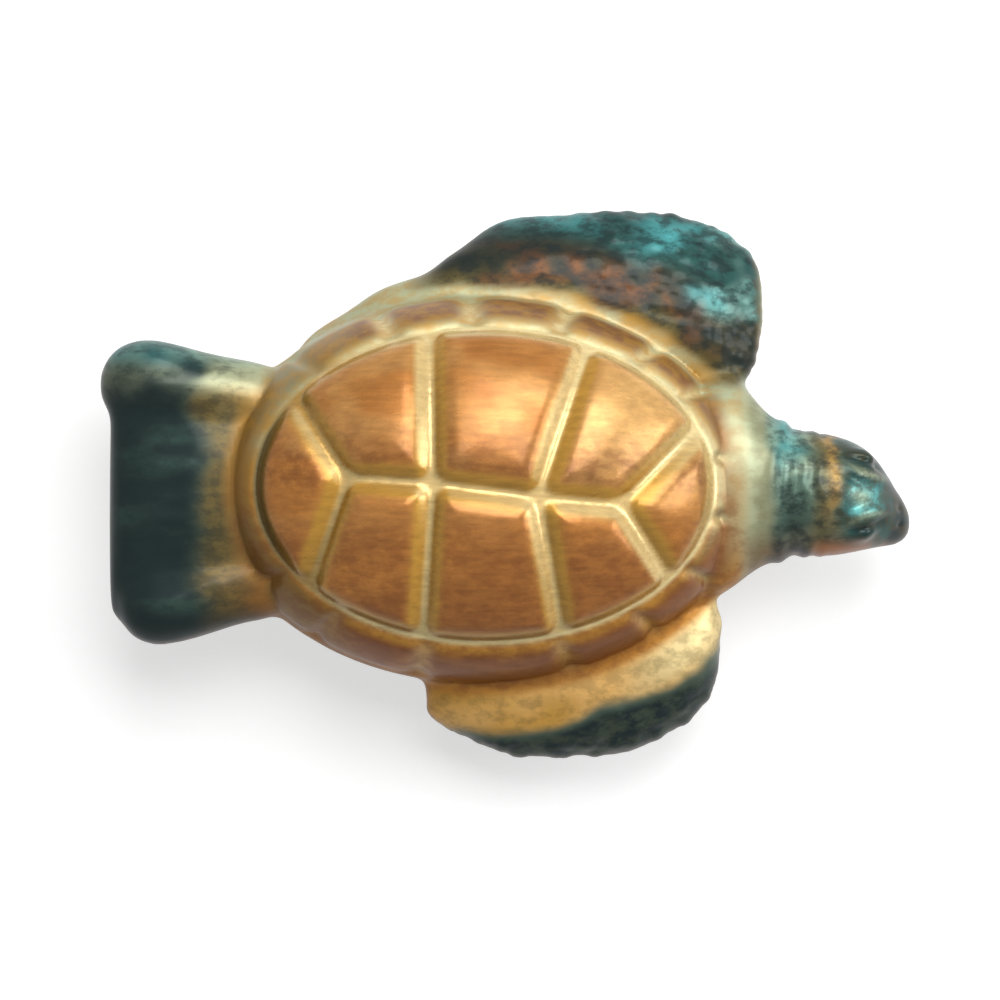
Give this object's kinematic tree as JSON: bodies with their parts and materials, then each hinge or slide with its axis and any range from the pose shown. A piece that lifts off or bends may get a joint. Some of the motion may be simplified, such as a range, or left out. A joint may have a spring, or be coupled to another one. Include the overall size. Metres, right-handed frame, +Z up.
{
  "type": "hanging turtle ornament",
  "caption": "Hollow blown-glass sea turtle with pillow scutes and swept flippers that stands on its flat belly or hangs by a wire loop in a metal cap under the tail.",
  "frame": {"origin": "middle of the flat belly, on the surface the turtle stands on", "axes": "+X towards the head, +Y to the turtle's left, +Z up"},
  "size_m": [0.1269, 0.087, 0.041],
  "materials": {
    "lacquered_glass": "gloss",
    "cap_metal": "satin",
    "wire_metal": "gloss"
  },
  "bodies": {
    "glass": {"glass_body": "lacquered_glass"},
    "cap": {"ornament_cap": "cap_metal"},
    "hanger": {"hanger_wire": "wire_metal"}
  },
  "joints": [
    {"name": "cap_pull", "type": "slide", "parent": "glass", "child": "cap", "axis": [-1, 0, 0], "range_m": [0, 0.02]},
    {"name": "hanger_slide", "type": "slide", "parent": "cap", "child": "hanger", "axis": [-1, 0, 0], "range_m": [0, 0.005]}
  ]
}
